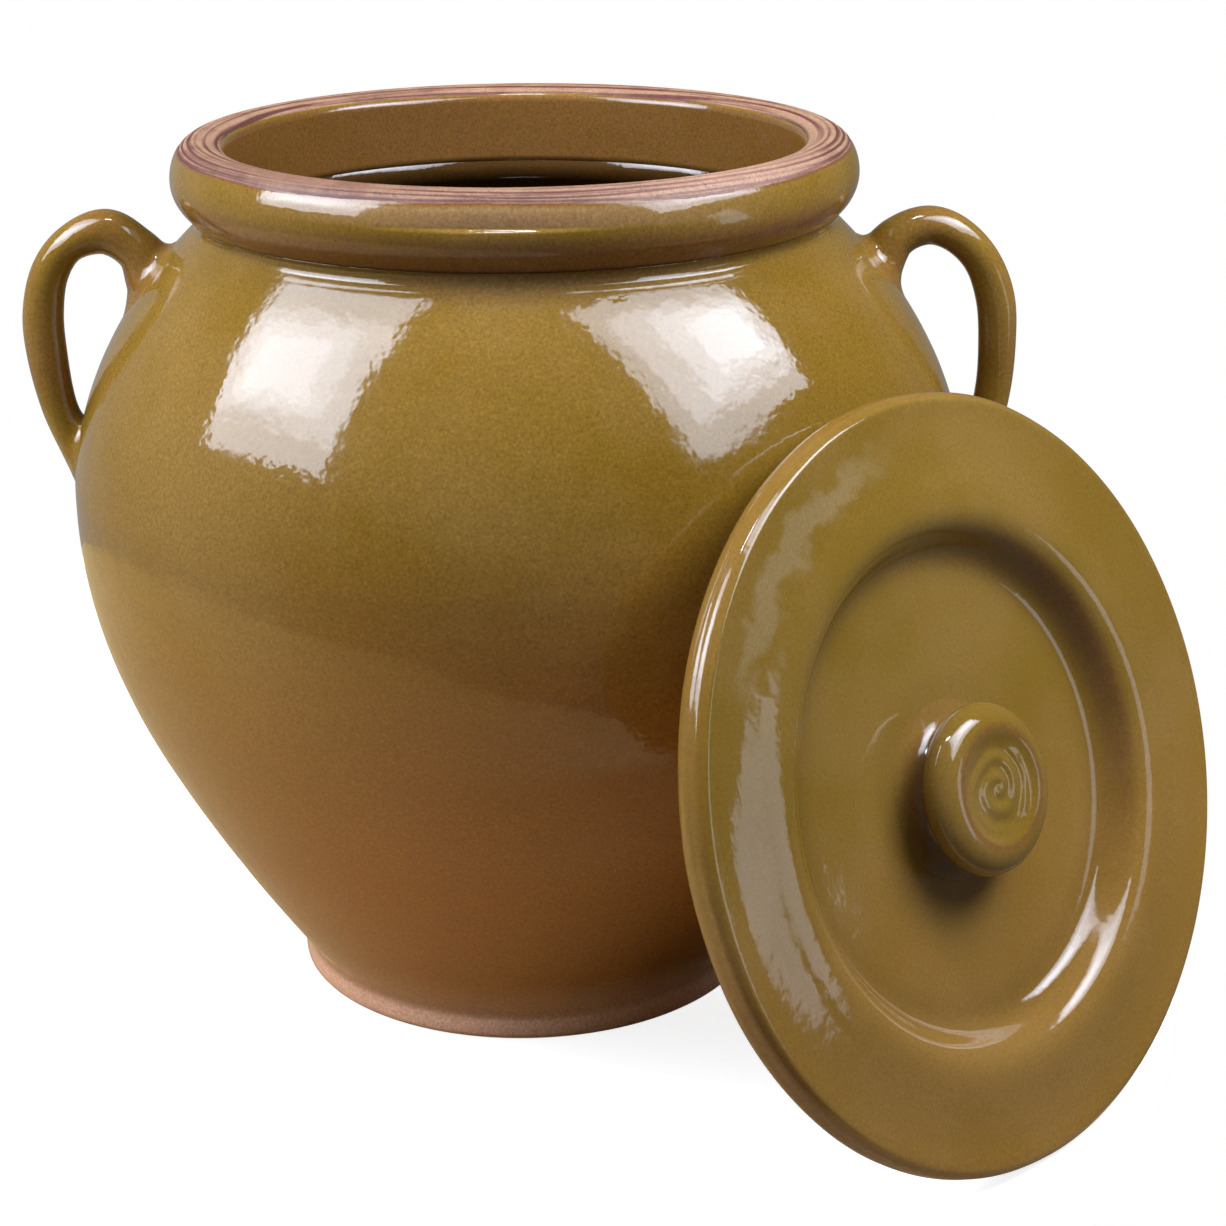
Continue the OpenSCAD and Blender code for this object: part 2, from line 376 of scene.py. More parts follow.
@dataclass(frozen=True)
class GlazeFinish:
    """Glossy stoneware glaze that thins to brown on edges and pools dark in corners; its masks also paint shade into
    hollows and shadowed sides, and paint light and reflections.
    """

    name: str
    rich: tuple = rgb(121, 91, 27)
    pale: tuple = rgb(130, 99, 42)
    # Lighter, redder glaze low on the body, partly its own tone, partly painted light.
    low: tuple = rgb(171, 111, 46)
    # Brown of thinned glaze, also used as painted shade under the coil, on the lid's well wall and under the knob.
    thin_and_shade: tuple = rgb(118, 74, 42)
    # Dark glaze, used as pooled glaze and as painted shade in hollows, creases and shadowed sides.
    pool_and_shade: tuple = rgb(62, 38, 15)
    # Pale glaze, used on the foot and as painted light: sheen on the coil, fill over the lid's shadow, a reflection on
    # the lid.
    milky_and_painted_light: tuple = rgb(222, 176, 150)
    clay: tuple = rgb(157, 119, 90)
    clay_dark: tuple = rgb(88, 44, 32)
    peel: float = 0.16
    grain: float = 0.005
    roughness: float = 0.075
    specks: float = 0.85
    tint_low: float = 0.0
    tint_high: float = 0.0
    centre: Matrix = field(default_factory=lambda: Matrix.Identity(4))

    def build(self, specks: bpy.types.NodeTree, peel: bpy.types.NodeTree) -> bpy.types.Material:
        """Makes the material.

        Args:
            specks: The fired_specks group.
            peel: The glaze_peel group.

        Returns:
            The material.
        """
        material = bpy.data.materials.new(self.name)
        material.use_nodes = True
        material.node_tree.nodes.clear()
        graph = Graph(material.node_tree)
        place = graph.add("TexCoord").outputs["Object"]
        local = graph.add("Mapping", {"Vector": place}, vector_type="TEXTURE")
        local.inputs["Location"].default_value = self.centre.to_translation()
        local.inputs["Rotation"].default_value = self.centre.to_euler()
        point = local.outputs["Vector"]
        masks = {layer: graph.add("Attribute", attribute_name=layer.value).outputs["Fac"] for layer in Layer}

        cloud = graph.noise(point, 16, 3, 0.55)
        color = graph.blend(graph.span(cloud, 0.36, 0.64), self.rich, self.pale)
        # Lighter, redder glaze towards the bottom: partly the glaze's own tone, partly painted light on the dimmer
        # lower body.
        if self.tint_high > self.tint_low:
            height = graph.add("SeparateXYZ", {"Vector": point}).outputs["Z"]
            sway = graph.math("MULTIPLY", graph.math("SUBTRACT", cloud, 0.5), 0.06)
            share = graph.span(graph.math("ADD", height, sway), self.tint_low, self.tint_high, 1.0, 0.0)
            # Painted fill light: its mask adds the lighter, warmer low colour on sides in shadow.
            share = graph.math("ADD", share, masks[Layer.WARM_PAINTED_FILL], clamp=True)
            color = graph.blend(share, color, self.low)
        # Painted shade, with some pooled glaze: darkens the glaze where its mask is set.
        color = graph.blend(masks[Layer.POOL_AND_SHADE], color, self.pool_and_shade)
        ragged = graph.span(graph.noise(point, 240, 3, 0.65), 0.3, 0.7, -0.3, 0.3)
        # Thinned glaze on edges, and painted shade where the mask is set in shadowed places.
        edge = graph.math("ADD", masks[Layer.THIN], graph.math("MULTIPLY", ragged, masks[Layer.THIN]), clamp=True)
        color = graph.blend(edge, color, self.thin_and_shade)
        # Pale glaze, and painted light and reflections where its mask is set.
        color = graph.blend(masks[Layer.MILKY_AND_PAINTED_LIGHT], color, self.milky_and_painted_light)
        speck = graph.add("Group", {}, node_tree=specks)
        for key, value in (("Vector", point), ("Color", color), ("Dark", 0.34 * self.specks), ("Light", 0.4 * self.specks)):
            graph.feed(speck.inputs[key], value)
        color = speck.outputs["Color"]

        bare = graph.span(graph.math("ADD", masks[Layer.BARE], graph.math("MULTIPLY", ragged, 0.5)), 0.42, 0.58)
        stain = graph.math("MULTIPLY", graph.span(graph.noise(point, 70, 4, 0.65), 0.4, 0.75), 0.35)
        # Darker clay in the rings, stains and glaze edge, and painted shade on the coil's left front.
        groove_stain_and_shade = graph.math("ADD", masks[Layer.GROOVE_AND_SHADE], stain, clamp=True)
        clay = graph.blend(groove_stain_and_shade, self.clay, self.clay_dark)
        # The same pale colour on bare clay: a paler foot and painted sheen on the coil's top.
        clay = graph.blend(masks[Layer.MILKY_AND_PAINTED_LIGHT], clay, self.milky_and_painted_light)
        clay_speck = graph.add("Group", {}, node_tree=specks)
        for key, value in (("Vector", point), ("Color", clay), ("Dark", 0.7), ("Light", 0.35)):
            graph.feed(clay_speck.inputs[key], value)
        color = graph.blend(bare, color, clay_speck.outputs["Color"])

        skin = graph.add("Group", {}, node_tree=peel)
        for key, value in (("Vector", point), ("Peel", self.peel), ("Grain", self.grain)):
            graph.feed(skin.inputs[key], value)
        rough_clay = graph.math("MULTIPLY", graph.math("MULTIPLY", graph.noise(point, 1400, 3, 0.7), 0.05), bare)
        bump = graph.add("Bump", {"Height": graph.math("ADD", skin.outputs["Height"], rough_clay), "Distance": MM})
        gloss = graph.span(graph.noise(point, 42, 3, 0.6), 0.3, 0.7, self.roughness * 0.75, self.roughness * 1.5)
        gloss = graph.math("ADD", gloss, graph.math("MULTIPLY", bare, 0.5))
        gloss = graph.math("ADD", gloss, graph.math("MULTIPLY", edge, 0.08))

        shader = graph.add("BsdfPrincipled", {"Base Color": color, "Roughness": gloss, "Normal": bump.outputs["Normal"]})
        shader.inputs["IOR"].default_value = 1.53
        output = graph.add("OutputMaterial", {"Surface": shader.outputs["BSDF"]})
        output.is_active_output = True
        return material


@dataclass
class JarBody:
    """The thrown belly on its small foot, hollow, with a floor."""

    height: float = 308.5 * MM
    foot_r: float = 85.5 * MM
    belly_r: float = 158.4 * MM
    belly_z: float = 185 * MM
    flank_lean: float = math.radians(34)
    shoulder_lean: float = math.radians(50)
    flank_pull: float = 102 * MM
    belly_pull_low: float = 52 * MM
    belly_pull_high: float = 42 * MM
    shoulder_pull: float = 24 * MM
    wall: float = 9.5 * MM
    floor: float = 10 * MM
    neck_r: float = 109 * MM
    neck_z: float = 280.5 * MM
    mouth_r: float = 99.7 * MM
    sides: int = 320
    lid_angle: float = math.radians(43.3 - 90)
    oval: float = 0.22 * MM
    ring_depth: float = 0.10 * MM
    ring_pitch: float = 9.5 * MM
    crease_r: float = 3.0 * MM
    crease_rise: float = math.radians(26)
    crease_ridge: float = 0.06 * MM
    crease_pitch: float = 2.8 * MM

    def __post_init__(self) -> None:
        """Works out the outer line once, for the outline and for the handles' roots."""
        foot = Vector((self.foot_r - 0.5 * MM, 10.3 * MM))
        lean = Vector((math.sin(self.flank_lean), math.cos(self.flank_lean)))
        belly = Vector((self.belly_r, self.belly_z))
        top = Vector((self.neck_r, self.neck_z))
        fall = Vector((math.sin(self.shoulder_lean), -math.cos(self.shoulder_lean)))
        self.flank = Curve(foot, foot + self.flank_pull * lean, belly - Vector((0, self.belly_pull_low)), belly)
        rise = belly + Vector((0, self.belly_pull_high))
        self.shoulder = Curve(belly, rise, top + self.shoulder_pull * fall, top)
        foot_points = [(-2.6, 0.0), (-1.6, 0.2), (-0.8, 0.8), (-0.2, 1.6), (0.0, 2.6), (-0.05, 4.0), (-0.25, 5.6),
                       (-0.7, 7.2), (-0.95, 8.6)]
        self.foot_line = [Vector((self.foot_r + dx * MM, z * MM)) for dx, z in foot_points]
        near_top = [self.shoulder.point(0.9 + 0.005 * i) for i in range(7)]
        up_to_there = [self.shoulder.point(0.9 * i / 62) for i in range(1, 62)]
        self.outer = self.foot_line + self.flank.points(78) + up_to_there + near_top + self.crease(top, fall)
        self.heights = [p.y for p in self.outer]

    def crease(self, corner: Vector, fall: Vector) -> list[Vector]:
        """Round fillet that joins the shoulder to the underside of the coil.

        Args:
            corner: Where the two would meet.
            fall: Unit vector from the corner down the shoulder.

        Returns:
            The fillet's points, from the shoulder up to the coil.
        """
        rise = Vector((math.cos(self.crease_rise), math.sin(self.crease_rise)))
        half = fall.angle(rise) / 2
        middle = corner + (fall + rise).normalized() * self.crease_r / math.sin(half)
        first = (corner + fall * self.crease_r / math.tan(half) - middle) / self.crease_r
        sweep = math.pi - 2 * half
        turns = [-sweep * i / 14 for i in range(15)]
        return [
            middle + self.crease_r * Vector((first.x * math.cos(t) - first.y * math.sin(t),
                                             first.x * math.sin(t) + first.y * math.cos(t)))
            for t in turns
        ]

    def outside(self, z: float) -> float:
        """Radius of the outside at a height."""
        i = min(max(bisect_left(self.heights, z), 1), len(self.outer) - 1)
        a, b = self.outer[i - 1], self.outer[i]
        share = min(1.0, max(0.0, (z - a.y) / (b.y - a.y)))
        return a.x + (b.x - a.x) * share

    def outline(self) -> list[Vector]:
        """Outside from the middle of the foot up to the neck, then down the inside to the floor's middle."""
        inside = self.shoulder.points(34, self.wall)[::-1] + self.flank.points(36, self.wall)[::-1]
        corner = [Vector((self.foot_r - dx * MM, self.floor + dz * MM)) for dx, dz in ((10.5, 2), (14, 0), (20, 0))]
        foot_face = [Vector((r * self.foot_r, 0.0)) for r in (0.0, 0.3, 0.6, 0.85)]
        floor_face = [Vector((r * self.foot_r, self.floor)) for r in (0.5, 0.25, 0.0)]
        return foot_face + self.outer + [Vector((self.mouth_r, self.neck_z))] + inside + corner + floor_face

    def unevenness(self, co: Vector) -> Vector:
        """Small out-of-round and throwing rings of a hand-made pot, as a move along its radius."""
        radius = math.hypot(co.x, co.y)
        if radius < 0.5 * self.foot_r or co.z < self.floor or co.z > self.neck_z + 2 * MM:
            return Vector()
        turn = math.atan2(co.y, co.x)
        fade = ramp(co.z, self.floor, 4 * self.floor) * ramp(co.z, self.neck_z, self.neck_z - 3 * self.floor)
        move = -self.oval * math.cos(2 * (turn - self.lid_angle)) * fade
        climb = co.z / self.ring_pitch + turn / FULL_TURN
        swell = noise.noise(Vector((climb * 0.9, 0.35 * math.cos(turn), 0.35 * math.sin(turn))))
        move += self.ring_depth * swell * fade
        near_coil = bump_at(co.z, self.neck_z - 4 * MM, 6 * MM)
        move += self.crease_ridge * math.cos(FULL_TURN * 1.5 * (self.neck_z - co.z) / self.crease_pitch) * near_coil
        move += 0.12 * MM * noise.noise(co * 28) * ramp(co.z, self.neck_z + 2 * MM, self.neck_z - 6 * MM)
        return Vector((co.x, co.y, 0)) * (move / radius)

    def masks(self) -> dict[Layer, Mask]:
        """Where the glaze is thinner, pooled or missing, with painted shade inside, in the crease and beside the lid,
        and painted light on the foot and on the lid's shadow side.
        """

        def outside_here(co: Vector) -> bool:
            radius = math.hypot(co.x, co.y)
            return radius > self.outside(co.z) - 0.5 * self.wall

        def bare(co: Vector) -> float:
            return 1.0 if co.z < 1.0 * MM else 0.0

        def foot(co: Vector) -> float:
            if not outside_here(co):
                return 0.0
            # Paler glaze low on the foot; painted fill light makes it paler on the right, in the lid's shadow, and
            # lightens the crease under the coil at the front.
            right = bump_at(math.atan2(co.y, co.x), math.radians(-60), math.radians(80))
            low = 0.42 * ramp(co.z, 30 * MM, 8 * MM) + 0.5 * ramp(co.z, 9.5 * MM, 6 * MM)
            front = bump_at(math.atan2(co.y, co.x), math.radians(-92), math.radians(60))
            return min(1.0, low * (0.85 + 0.85 * right)) + 0.08 * front * bump_at(co.z, self.neck_z - 2 * MM, 7 * MM)

        def warm_painted_fill(co: Vector) -> float:
            # Painted fill light: lighter, redder glaze on the belly beside the lid, where the lid's shadow falls.
            turn = math.atan2(co.y, co.x)
            share = ramp(co.z, 225 * MM, 140 * MM) * ramp(co.z, 20 * MM, 75 * MM)
            return 0.55 * bump_at(turn, math.radians(-72), math.radians(75)) * share

        def thin_and_shade(co: Vector) -> float:
            return 0.5 * ramp(co.z, 2.6 * MM, 0.6 * MM) if outside_here(co) else 0.0

        def pool_and_shade(co: Vector) -> float:
            # Painted shade inside the jar, in the crease under the coil and low on the side by the lid; and a darker
            # band where the foot meets the flank.
            if not outside_here(co):
                return 0.9
            low = 0.45 * bump_at(math.atan2(co.y, co.x), math.radians(-55), math.radians(42))
            crease = 0.1 * ramp(co.z, self.neck_z - 3 * MM, self.neck_z + 1 * MM)
            return crease + 0.3 * bump_at(co.z, 9 * MM, 4 * MM) + low * ramp(co.z, 100 * MM, 20 * MM)

        return {Layer.BARE: bare, Layer.THIN: thin_and_shade, Layer.POOL_AND_SHADE: pool_and_shade, Layer.MILKY_AND_PAINTED_LIGHT: foot, Layer.WARM_PAINTED_FILL: warm_painted_fill}

    def build(self, material: bpy.types.Material) -> bpy.types.Object:
        """Makes the body.

        Args:
            material: The glaze.

        Returns:
            The piece.
        """
        bm = turned(self.outline(), self.sides, closed=False)
        paint(bm, self.masks())
        shape(bm, self.unevenness)
        return finish_piece("belly_and_foot", bm, material, Body.JAR, "jar_body")


@dataclass
class RolledRim:
    """The thick rolled coil round the mouth, bare clay on top and glazed below."""

    jar: JarBody
    outer_r: float = 119.2 * MM
    half_w: float = 20 * MM
    middle_down: float = 13.4 * MM
    crest_r: float = 109.5 * MM
    inner_fall: float = 5.5 * MM
    groove_turn: float = math.radians(-60)
    glaze_edge_down: float = 3.5 * MM
    glaze_edge_in: float = 1.5 * MM
    step_down: float = 11.6 * MM
    step_depth: float = 1.2 * MM
    ridge_depth: float = 0.3 * MM
    ridge_pitch: float = 2.9 * MM
    step_turn: float = math.radians(-94)
    sides: int = 360

    def outline(self) -> list[Vector]:
        """Outside of the coil from the groove to the crest, then over the inner slope into the bore."""
        jar, widest = self.jar, self.jar.height - self.middle_down
        low = (widest - jar.neck_z) / math.sin(-self.groove_turn)

        def arc(middle: Vector, half: Vector, first: float, last: float, count: int) -> list[Vector]:
            turns = [first + (last - first) * i / count for i in range(count + 1)]
            return [middle + Vector((half.x * math.cos(t), half.y * math.sin(t))) for t in turns]

        under = arc(Vector((self.outer_r - self.half_w, widest)), Vector((self.half_w, low)), self.groove_turn, 0, 36)
        over = arc(Vector((self.crest_r, widest)), Vector((self.outer_r - self.crest_r, self.middle_down)),
                   0, FULL_TURN / 4, 72)
        inner = arc(Vector((self.crest_r, jar.height - self.inner_fall)),
                    Vector((self.crest_r - jar.mouth_r, self.inner_fall)), FULL_TURN / 4, FULL_TURN / 2, 44)
        bottom, wall_top = Vector((jar.mouth_r, jar.neck_z)), inner[-1]
        bore = [wall_top.lerp(bottom, i / 10) for i in range(1, 10)]
        return [bottom] + under + over[1:] + inner[1:] + bore

    def dip(self, co: Vector) -> float:
        """Depth of the rings left by the potter's fingers, 0 on a ridge and 1 in a groove."""
        radius = math.hypot(co.x, co.y)
        turn = math.atan2(co.y, co.x)
        around = Vector((math.cos(turn), math.sin(turn), 0.0))
        drift = 0.9 * noise.noise(around * 1.4)
        ring = (radius + 0.8 * (self.jar.height - co.z)) / self.ridge_pitch + drift
        strength = ramp(noise.noise(around * 1.3 + Vector((0, 0, 0.83 * round(ring)))), -0.3, 0.35)
        fine = ramp(noise.noise(Vector((radius / (0.9 * MM), around.x * 1.5, around.y * 1.5))), 0.1, 0.5)
        return min(1.0, ramp(math.cos(FULL_TURN * ring), -0.1, 0.85) * (0.25 + 0.75 * strength) + 0.45 * fine)

    def ridges(self, co: Vector) -> Vector:
        """Sinks the rings into the bare top, sets the top of the coil back a little and lets it sway."""
        radius = math.hypot(co.x, co.y)
        turn = math.atan2(co.y, co.x)
        top = self.jar.height
        on_top = ramp(co.z, top - 6 * MM, top - 3 * MM) * ramp(radius, self.jar.mouth_r, self.jar.mouth_r + 2 * MM)
        down = -self.ridge_depth * self.dip(co) * on_top
        edge = top - self.step_down
        out = 0.25 * MM * noise.noise(Vector((math.cos(turn), math.sin(turn), co.z / (14 * MM))))
        if radius > self.crest_r:
            here = bump_at(turn, self.step_turn, math.radians(24)) * ramp(co.z, top - 4 * MM, edge)
            out -= self.step_depth * ramp(co.z, edge - 0.7 * MM, edge + 0.7 * MM) * here
        return Vector((co.x / radius * out, co.y / radius * out, down))

    def masks(self) -> dict[Layer, Mask]:
        """Bare top, thinner glaze beside it, painted shade in the groove, under the coil and inside, and painted sheen
        on the front.
        """
        top = self.jar.height

        def wander(co: Vector) -> float:
            turn = math.atan2(co.y, co.x)
            dropped = 1.2 * MM * bump_at(turn, math.radians(-57), math.radians(32))
            return 0.7 * MM * noise.noise(Vector((3 * math.cos(turn), 3 * math.sin(turn), 7.0))) - dropped

        def below_edge(co: Vector) -> float:
            return top - self.glaze_edge_down + wander(co) - co.z

        def bare(co: Vector) -> float:
            inner = math.hypot(co.x, co.y) + wander(co) - self.jar.mouth_r - self.glaze_edge_in
            return ramp(below_edge(co), 0.6 * MM, -0.6 * MM) * ramp(inner, -0.5 * MM, 0.5 * MM)

        def thin_and_shade(co: Vector) -> float:
            radius = math.hypot(co.x, co.y)
            # Browner glaze inside the bore; below, painted shade on the underside of the coil.
            if radius < self.jar.mouth_r + 0.8 * MM:
                return 0.45
            under = 0.8 * ramp(co.z, self.jar.neck_z + 16 * MM, self.jar.neck_z + 7 * MM)
            return max(under, bump_at(below_edge(co), 0.3 * MM, 0.8 * MM))

        def pool_and_shade(co: Vector) -> float:
            # Painted shade in the crease under the coil and inside the bore.
            inside = ramp(math.hypot(co.x, co.y), self.jar.mouth_r + 1.5 * MM, self.jar.mouth_r)
            return 0.8 * ramp(co.z, self.jar.neck_z + 4 * MM, self.jar.neck_z) * (1 - inside) + 0.3 * inside

        def dark(co: Vector) -> float:
            # Painted shade on the coil's left front, beside the finger rings and the dark line at the glaze edge.
            shade = 0.5 * bump_at(math.atan2(co.y, co.x), math.radians(-130), math.radians(45))
            return max(min(1.0, 1.45 * self.dip(co)), shade, 0.9 * bump_at(below_edge(co), -0.6 * MM, 0.8 * MM))

        def painted_sheen(co: Vector) -> float:
            # Painted sheen: pale patches for reflections on the bare clay at the right front and on the coil's front
            # face.
            turn = math.atan2(co.y, co.x)
            clay = 0.2 * bump_at(turn, math.radians(-52), math.radians(34)) * bare(co)
            face = ramp(below_edge(co), 0.4 * MM, 2 * MM) * ramp(below_edge(co), 8.5 * MM, 6 * MM)
            return clay + 0.2 * bump_at(turn, math.radians(-92), math.radians(50)) * face

        return {Layer.BARE: bare, Layer.THIN: thin_and_shade, Layer.POOL_AND_SHADE: pool_and_shade, Layer.GROOVE_AND_SHADE: dark, Layer.MILKY_AND_PAINTED_LIGHT: painted_sheen}

    def build(self, material: bpy.types.Material) -> bpy.types.Object:
        """Makes the rim.

        Args:
            material: The glaze, which shows clay where it is bare.

        Returns:
            The piece.
        """
        bm = turned(self.outline(), self.sides, closed=True)
        paint(bm, self.masks())
        shape(bm, self.ridges)
        return finish_piece("rolled_rim", bm, material, Body.JAR, "mouth_rim")


@dataclass
class EarHandle:
    """A pulled coil bent into an ear, smeared onto the shoulder and the belly.

    Each row of the route is how far out from the widest belly and how far down from the crest, in
    millimetres, and the half thicknesses across and along the wall as shares of half the thickness.
    """

    jar: JarBody
    name: str
    node: str
    side: int
    thickness: float
    route: list[tuple[float, float, float, float]]
    sections: int = 32
    steps: int = 24
    fillet: float = 4.5 * MM
    buried: float = -2.0 * MM

    def frames(self) -> list[Matrix]:
        """For each station along the route, the matrix that lays a unit circle there."""
        rows = smooth_through([Vector(row) for row in self.route], self.steps)
        places = [Vector((self.jar.belly_r + r[0] * MM, 0, self.jar.height - r[1] * MM)) for r in rows]
        made = []
        for i, (row, place) in enumerate(zip(rows, places)):
            along = (places[min(i + 1, len(rows) - 1)] - places[max(i - 1, 0)]).normalized()
            across = Vector((0, 1, 0)).cross(along)
            half = self.thickness / 2
            turn = Matrix((across * half * row[2], Vector((0, half * row[3], 0)), along)).transposed()
            made.append(Matrix.Translation(place) @ turn.to_4x4())
        return made

    def wall_at(self, co: Vector) -> tuple[float, Vector]:
        """Distance from the body's outside to a point, and the outward normal there."""
        radius = math.hypot(co.x, co.y)
        step = 0.5 * MM
        slope = (self.jar.outside(co.z + step) - self.jar.outside(co.z - step)) / (2 * step)
        normal = Vector((co.x / radius, co.y / radius, -slope)).normalized()
        return (radius - self.jar.outside(co.z)) / math.sqrt(1 + slope * slope), normal

    def smear(self, bm: bmesh.types.BMesh, rings: list[list[bmesh.types.BMVert]], centres: list[Vector]) -> None:
        """Spreads the coil's ends onto the wall in a round fillet and cuts off what is buried in the clay.

        Args:
            bm: The coil, open at both ends.
            rings: Its vertices, ring by ring.
            centres: The middle of each ring.
        """
        pool_and_shade = bm.verts.layers.float[Layer.POOL_AND_SHADE.value]
        for ring, centre in zip(rings, centres):
            for vert in ring:
                gap, normal = self.wall_at(vert.co)
                out = vert.co - centre
                flat = out - normal * out.dot(normal)
                share = min(1.0, max(0.0, 1 - gap / self.fillet))
                spread = self.fillet * (1 - math.sqrt(max(0.0, 1 - share * share)))
                if gap > self.buried and flat.length > 0.1 * MM:
                    vert.co += flat.normalized() * spread * min(1.0, flat.length / out.length)
                # Slightly darker glaze near the wall: pooled glaze and painted shade in the join.
                vert[pool_and_shade] = 0.05 * ramp(gap, 4 * MM, 0.0)
        hidden = [f for f in bm.faces if any(self.wall_at(v.co)[0] < self.buried for v in f.verts)]
        bmesh.ops.delete(bm, geom=hidden, context="FACES")
        bmesh.ops.holes_fill(bm, edges=bm.edges[:], sides=0)

    def build(self, material: bpy.types.Material) -> bpy.types.Object:
        """Makes the handle.

        Args:
            material: The glaze.

        Returns:
            The piece.
        """
        bm = bmesh.new()
        bm.verts.layers.float.new(Layer.POOL_AND_SHADE.value)
        frames = self.frames()
        made = bmesh.ops.create_circle(bm, cap_ends=False, segments=self.sections, radius=1.0, matrix=frames[0])
        rings = [made["verts"]]
        edges = bm.edges[:]
        for before, after in zip(frames, frames[1:]):
            grown = bmesh.ops.extrude_edge_only(bm, edges=edges)["geom"]
            ring = [g for g in grown if isinstance(g, bmesh.types.BMVert)]
            edges = [g for g in grown if isinstance(g, bmesh.types.BMEdge)]
            bmesh.ops.transform(bm, matrix=after @ before.inverted(), verts=ring)
            rings.append(ring)
        self.smear(bm, rings, [f.to_translation() for f in frames])
        shape(bm, lambda co: 0.22 * MM * noise.noise_vector(co * 45))
        paint(bm, {Layer.THIN: lambda co: 0.2 + 0.5 * noise.noise(co * 38)})
        if self.side < 0:
            bmesh.ops.scale(bm, vec=(-1, 1, 1), verts=bm.verts[:])
        bmesh.ops.recalc_face_normals(bm, faces=bm.faces[:])
        return finish_piece(self.name, bm, material, Body.JAR, self.node, levels=1)


@dataclass
class Lid:
    """The flanged disc with a sunk well, and its knob, both on the lid's own axis.

    Heights are above the flat of the flange, along the way that the lid faces.
    """

    radius: float = 126.3 * MM
    lip_r: float = 92.5 * MM
    well_r: float = 70 * MM
    well_d: float = 12 * MM
    flange: float = 10 * MM
    well_floor: float = 8 * MM
    lean_dir: float = math.radians(43.3)
    lean_back: float = math.radians(18.5)
    lean_out: float = 203.83 * MM
    lean_side: float = 7.5 * MM
    lean_z: float = 122.03 * MM
    knob_r: float = 28 * MM
    neck_r: float = 20.5 * MM
    foot_r: float = 32.5 * MM
    knob_top: float = 8.7 * MM
    well_aside: float = 2.0 * MM
    knob_aside: float = 3.0 * MM
    knob_sink: float = 0.3 * MM
    sides: int = 320

    def place(self) -> Matrix:
        """Matrix that stands the lid on its edge, leaning on the belly."""
        turn = Matrix.Rotation(self.lean_dir - math.pi / 2, 4, "Z")
        stand = Matrix.Translation((self.lean_out, self.lean_side, self.lean_z))
        return turn @ stand @ Matrix.Rotation(math.pi / 2 - self.lean_back, 4, "Y")

    def plate_outline(self) -> list[Vector]:
        """From the middle of the well up over the lip and flange, round the edge, and under to the middle."""
        lip, edge, deep = self.lip_r, self.radius, -self.well_d
        under = deep - self.well_floor

        def line(base: float, *pairs: tuple[float, float]) -> list[Vector]:
            return [Vector((base + dr * MM, h * MM)) for dr, h in pairs]

        floor = [Vector((self.well_r * i / 14, deep)) for i in range(14)]
        well = Curve(*line(0, (70, -12), (83, -12)), *line(lip, (-14, 1), (0, 1))).points(40)
        flange = line(lip, (1, 1.02), (2, 0.99), (3.5, 0.9), (5, 0.78), (8, 0.52), (11, 0.3), (14, 0.14), (17, 0.04), (20, 0))
        roll = line(edge, (-12.2, 0), (-10.5, 0.02), (-8.5, 0.1), (-6.5, 0.26), (-4.7, 0.38), (-3.6, 0.4), (-2.9, 0.27),
                    (-2.4, 0), (-2.0, -0.33), (-1.15, -1.05), (-0.7, -1.7), (-0.42, -2.4), (-0.28, -3.2), (-0.18, -4.3), (0, -5.8),
                    (-0.25, -8), (-1.3, -10.2), (-2.9, -11.7), (-4.9, -12.3), (-7.2, -12), (-9.2, -11), (-11.2, -10.2),
                    (-13.7, -10))
        boss = Curve(*line(lip, (3.8, -10), (-2, -10)), Vector((lip, under)), Vector((lip - 8.5 * MM, under))).points(16)
        below = [Vector((boss[-1].x * (1 - i / 8), under)) for i in range(1, 9)]
        return floor + well + smooth_through(flange + roll, 3)[1:] + boss + below

    def plate_unevenness(self, co: Vector) -> Vector:
        """Faint rings and a slow wave on the flange and in the well."""
        radius = math.hypot(co.x, co.y)
        turn = math.atan2(co.y, co.x)
        face = ramp(co.z, -self.well_d - 1 * MM, -self.well_d + 0.5 * MM)
        rings = noise.noise(Vector((radius / (5.5 * MM), 0.5 * math.cos(turn), 0.5 * math.sin(turn))))
        lift = (0.10 * MM * rings + 0.16 * MM * noise.noise(co * 22)) * face * ramp(radius, 15 * MM, 40 * MM)
        edge = ramp(radius, self.radius - 8 * MM, self.radius)
        sway = 0.35 * MM * (noise.noise(Vector((4 * math.cos(turn), 4 * math.sin(turn), 3.0))) - 0.5) * edge
        lift += 0.045 * MM * noise.noise(co * 200) * bump_at(radius, self.lip_r + 9 * MM, 12 * MM)
        aside = self.well_aside * ramp(radius, self.radius - 9 * MM, self.lip_r + 4 * MM)
        return Vector((co.x * sway / max(radius, MM) + aside, co.y * sway / max(radius, MM), lift))

    def plate_masks(self) -> dict[Layer, Mask]:
        """Thinner glaze on the outer edge and the back, darker glaze in the well's corner and round the knob, painted
        shade on the well's upper wall and the top right, a painted reflection on the flange, and painted fill light low
        on the face.
        """

        def thin_and_shade(co: Vector) -> float:
            radius = math.hypot(co.x, co.y)
            low = 0.25 + 0.5 * ramp(co.x / max(radius, MM), -0.1, 0.9)
            rim = low * ramp(radius, self.radius - 3 * MM, self.radius - 0.5 * MM)
            back = ramp(co.z, -self.flange + 1 * MM, -self.flange - 2 * MM) * ramp(radius, self.lip_r, self.radius)
            # Painted shade: browner glaze on the upper right wall of the well.
            shade = bump_at(math.atan2(co.y, co.x), math.radians(115), math.radians(85))
            wall = 0.6 * shade * bump_at(radius, 84 * MM, 11 * MM) * ramp(co.z, -0.5 * MM, -3 * MM)
            return max(rim, 0.5 * back, wall)

